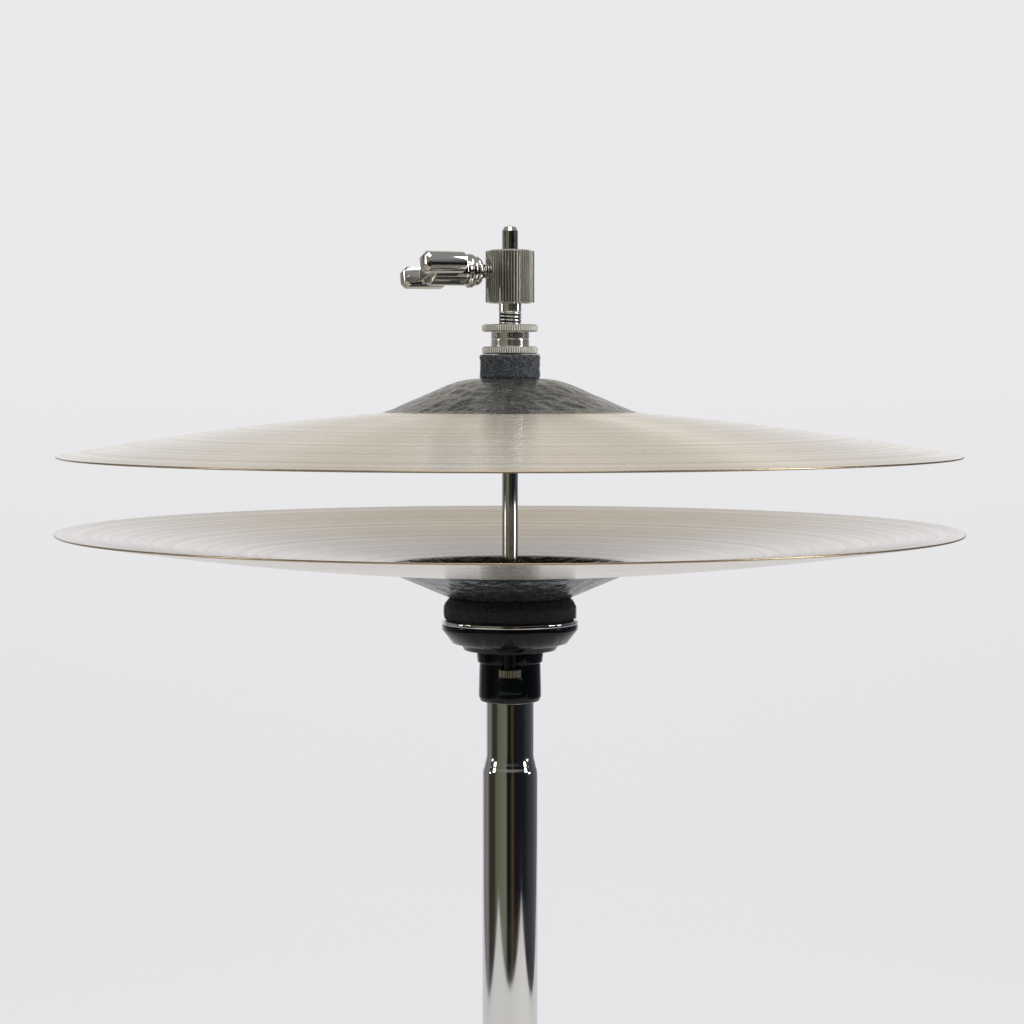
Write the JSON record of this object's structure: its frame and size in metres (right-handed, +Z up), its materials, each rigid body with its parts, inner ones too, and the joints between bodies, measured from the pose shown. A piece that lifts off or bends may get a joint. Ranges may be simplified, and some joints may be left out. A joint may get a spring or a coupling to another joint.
{
  "type": "hi hat",
  "caption": "Hi hat on a pedal stand: facing cymbals on a pull rod with a clutch, a tilting seat, telescoping tubes, a chain-drive footboard and folding legs.",
  "frame": {"origin": "on the floor, on the axis of the tubes", "axes": "+Z up the tubes, -Y towards the player and the heel of the pedal, +X to the player's right"},
  "size_m": [0.6024, 0.69, 0.9578],
  "materials": {
    "bronze": "lathed bow, raw hammered bell",
    "chrome": "bright chrome plate",
    "bolt_steel": "zinc plated",
    "spring_steel": "oiled",
    "black_plastic": "moulded, polished",
    "felt": "pressed charcoal wool felt",
    "cast_metal": "satin cast",
    "nylon": "moulded",
    "rubber": "moulded, matte"
  },
  "bodies": {
    "stand": {"base_frame": "cast_metal", "frame_feet": "rubber", "lower_tube": "chrome", "clamp_housing": "cast_metal", "clamp_bush": "nylon", "heel_plate": "cast_metal", "heel_pad": "rubber", "heel_pin": "bolt_steel", "radius_rod_left": "chrome", "radius_rod_right": "chrome", "spring_seat": "nylon", "spring": "spring_steel", "leg_bolt_left": "bolt_steel", "leg_bolt_right": "bolt_steel", "leg_bolt_rear": "bolt_steel"},
    "tension_ring": {"tension_ring": "chrome"},
    "clamp_bolt": {"clamp_wing_bolt": "chrome"},
    "left_leg": {"leg_left": "chrome", "leg_tip_left": "rubber"},
    "right_leg": {"leg_right": "chrome", "leg_tip_right": "rubber"},
    "rear_leg": {"leg_rear": "chrome", "leg_tip_rear": "rubber"},
    "seat_post": {"upper_tube": "chrome", "seat_sleeve": "black_plastic", "seat_pivot_pin": "bolt_steel"},
    "memory_ring": {"memory_lock": "chrome", "memory_lock_key_screw": "bolt_steel"},
    "seat": {"seat_cup": "black_plastic", "seat_washer": "chrome", "seat_felt": "felt"},
    "tilt_screw": {"tilt_screw": "bolt_steel"},
    "tilt_wheel": {"tilt_wheel": "chrome"},
    "bottom_cymbal": {"bottom_cymbal": "bronze"},
    "pull_rod": {"pull_rod_upper": "chrome", "pull_rod_lower": "chrome", "rod_coupler": "chrome", "rod_yoke": "bolt_steel", "yoke_pin": "bolt_steel", "spring_collar": "bolt_steel"},
    "drive_chain": {"drive_chain": "bolt_steel"},
    "pedal": {"footboard": "cast_metal", "toe_stop": "rubber", "toe_bracket": "cast_metal", "toe_pin": "bolt_steel"},
    "clutch": {"clutch_barrel": "chrome", "clutch_sleeve": "chrome"},
    "clutch_screw": {"clutch_wing_screw": "chrome"},
    "upper_nut": {"upper_lock_nut": "chrome"},
    "lower_nut": {"lower_lock_nut": "chrome"},
    "bottom_nut": {"clutch_bottom_nut": "chrome"},
    "clutch_felts": {"clutch_upper_felt": "felt", "clutch_lower_felt": "felt"},
    "top_cymbal": {"top_cymbal": "bronze"}
  },
  "joints": [
    {"name": "pull_rod_slide", "type": "slide", "parent": "stand", "child": "pull_rod", "axis": [0, 0, 1], "range_m": [-0.0271, 0], "stiffness_N_per_m": 1500, "springref_m": 0.02, "deforming": ["spring"]},
    {"name": "pedal_press", "type": "hinge", "parent": "stand", "child": "pedal", "pos_m": [0, -0.28933, 0.022], "axis": [1, 0, 0], "range_deg": [-5.38, 0]},
    {"name": "chain_swing", "type": "hinge", "parent": "pull_rod", "child": "drive_chain", "pos_m": [0, 0, 0.108], "axis": [1, 0, 0], "range_deg": [0, 3.91]},
    {"name": "height_slide", "type": "slide", "parent": "stand", "child": "seat_post", "axis": [0, 0, 1], "range_m": [-0.07, 0]},
    {"name": "memory_lock_slide", "type": "slide", "parent": "seat_post", "child": "memory_ring", "axis": [0, 0, 1], "range_m": [0, 0.1]},
    {"name": "seat_tilt", "type": "hinge", "parent": "seat_post", "child": "seat", "pos_m": [0, 0.0159, 0.787], "axis": [-1, 0, 0], "range_deg": [0, 4]},
    {"name": "tilt_screw_lift", "type": "slide", "parent": "seat_post", "child": "tilt_screw", "axis": [0, 0, 1], "range_m": [0, 0.00224]},
    {"name": "tilt_wheel_turn", "type": "hinge", "parent": "seat_post", "child": "tilt_wheel", "pos_m": [0, -0.0148, 0.7796], "axis": [0, 0, 1], "range_deg": [0, 514.4]},
    {"name": "bottom_cymbal_spin", "type": "hinge", "parent": "seat", "child": "bottom_cymbal", "pos_m": [0, 0, 0.808], "axis": [0, 0, 1], "continuous": true},
    {"name": "clutch_slide", "type": "slide", "parent": "pull_rod", "child": "clutch", "axis": [0, 0, 1], "range_m": [-0.02, 0.005]},
    {"name": "clutch_screw_turn", "type": "hinge", "parent": "clutch", "child": "clutch_screw", "pos_m": [0, 0, 0.93955], "axis": [-0.9063, -0.4226, 0], "range_deg": [0, 180]},
    {"name": "upper_nut_turn", "type": "hinge", "parent": "clutch", "child": "upper_nut", "pos_m": [0, 0, 0.91285], "axis": [0, 0, 1], "range_deg": [0, 180]},
    {"name": "lower_nut_turn", "type": "hinge", "parent": "clutch", "child": "lower_nut", "pos_m": [0, 0, 0.91285], "axis": [0, 0, 1], "range_deg": [0, 180]},
    {"name": "bottom_nut_turn", "type": "hinge", "parent": "clutch", "child": "bottom_nut", "pos_m": [0, 0, 0.88735], "axis": [0, 0, 1], "range_deg": [0, 180]},
    {"name": "top_cymbal_rock", "type": "hinge", "parent": "clutch", "child": "clutch_felts", "pos_m": [0, 0, 0.8974], "axis": [1, 0, 0], "range_deg": [0, 2]},
    {"name": "top_cymbal_spin", "type": "hinge", "parent": "clutch_felts", "child": "top_cymbal", "pos_m": [0, 0, 0.8974], "axis": [0, 0, 1], "continuous": true},
    {"name": "tension_ring_turn", "type": "hinge", "parent": "stand", "child": "tension_ring", "pos_m": [0, 0, 0.185], "axis": [0, 0, 1], "range_deg": [0, 180]},
    {"name": "clamp_bolt_turn", "type": "hinge", "parent": "stand", "child": "clamp_bolt", "pos_m": [0, 0, 0.506], "axis": [1, 0, 0], "range_deg": [0, 180]},
    {"name": "left_leg_fold", "type": "hinge", "parent": "stand", "child": "left_leg", "pos_m": [-0.05716, -0.033, 0.026], "axis": [-0.5, 0.866, 0], "range_deg": [0, 90]},
    {"name": "right_leg_fold", "type": "hinge", "parent": "stand", "child": "right_leg", "pos_m": [0.05716, -0.033, 0.026], "axis": [-0.5, -0.866, 0], "range_deg": [0, 90]},
    {"name": "rear_leg_fold", "type": "hinge", "parent": "stand", "child": "rear_leg", "pos_m": [0, 0.066, 0.026], "axis": [1, 0, 0], "range_deg": [0, 90]}
  ],
  "couplings": [
    {"joint": "pedal_press", "follows": "pull_rod_slide", "rad_per_m": 3.4526},
    {"joint": "chain_swing", "follows": "pull_rod_slide", "rad_per_m": -2.5054},
    {"joint": "tilt_screw_lift", "follows": "seat_tilt", "m_per_rad": 0.0307}
  ]
}
